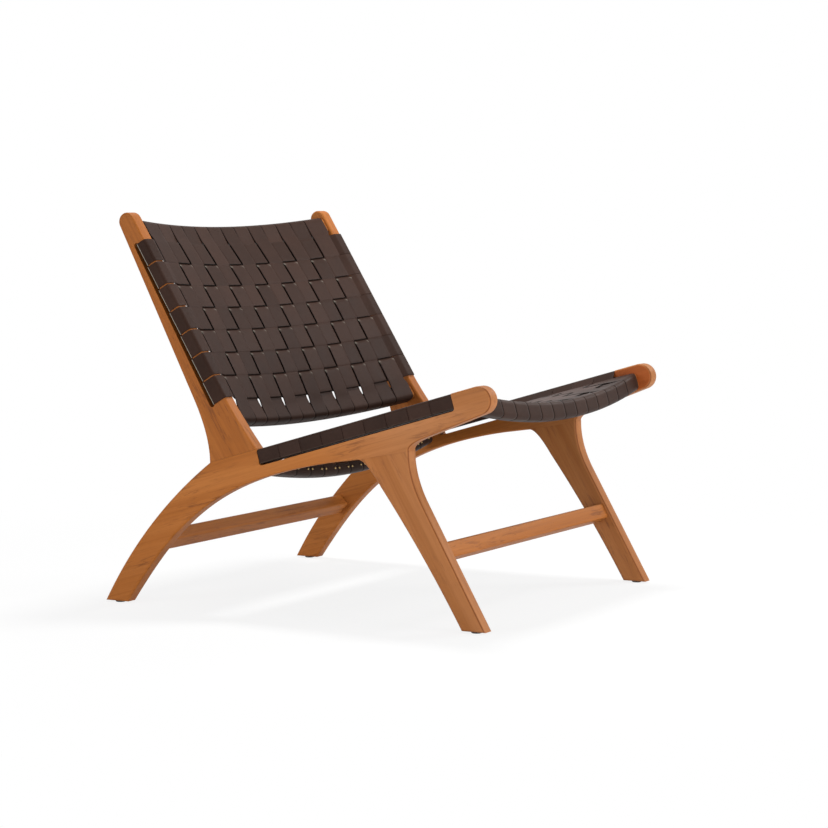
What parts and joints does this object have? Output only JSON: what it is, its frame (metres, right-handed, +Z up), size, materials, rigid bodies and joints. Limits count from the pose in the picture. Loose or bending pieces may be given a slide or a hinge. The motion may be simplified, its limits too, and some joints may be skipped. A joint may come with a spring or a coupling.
{
  "type": "lounge chair",
  "caption": "Low wooden lounge chair with a dished seat and reclined back woven from wide leather straps laced through slots in its side frames.",
  "frame": {"origin": "on the floor, under the middle of the chair's length and width", "axes": "+Z up, -Y the way the sitter faces, +X to the sitter's left"},
  "size_m": [0.6946, 0.7732, 0.6962],
  "materials": {
    "teak": "oiled, satin",
    "leather": "smooth, soft sheen",
    "glide": "matte"
  },
  "bodies": {
    "root": {"side_rail_left": "teak", "side_rail_right": "teak", "front_leg_left": "teak", "front_leg_right": "teak", "back_post_left": "teak", "back_post_right": "teak", "front_stretcher": "teak", "rear_stretcher": "teak", "back_bottom_rail": "teak", "back_top_rail": "teak", "seat_front_rail": "teak", "seat_rear_rail": "teak", "back_strap_long_01": "leather", "back_strap_long_02": "leather", "back_strap_long_03": "leather", "back_strap_long_04": "leather", "back_strap_long_05": "leather", "back_strap_long_06": "leather", "back_strap_long_07": "leather", "back_strap_long_08": "leather", "back_strap_long_09": "leather", "back_strap_long_10": "leather", "back_strap_long_11": "leather", "back_strap_long_12": "leather", "back_strap_long_13": "leather", "back_strap_cross_01": "leather", "back_strap_cross_02": "leather", "back_strap_cross_03": "leather", "back_strap_cross_04": "leather", "back_strap_cross_05": "leather", "back_strap_cross_06": "leather", "back_strap_cross_07": "leather", "seat_strap_long_01": "leather", "seat_strap_long_02": "leather", "seat_strap_long_03": "leather", "seat_strap_long_04": "leather", "seat_strap_long_05": "leather", "seat_strap_long_06": "leather", "seat_strap_long_07": "leather", "seat_strap_long_08": "leather", "seat_strap_long_09": "leather", "seat_strap_long_10": "leather", "seat_strap_long_11": "leather", "seat_strap_long_12": "leather", "seat_strap_long_13": "leather", "seat_strap_cross_01": "leather", "seat_strap_cross_02": "leather", "seat_strap_cross_03": "leather", "seat_strap_cross_04": "leather", "seat_strap_cross_05": "leather", "seat_strap_cross_06": "leather", "seat_strap_cross_07": "leather", "seat_strap_cross_08": "leather", "seat_strap_cross_09": "leather", "glide_front_left": "glide", "glide_front_right": "glide", "glide_rear_left": "glide", "glide_rear_right": "glide"}
  },
  "joints": []
}
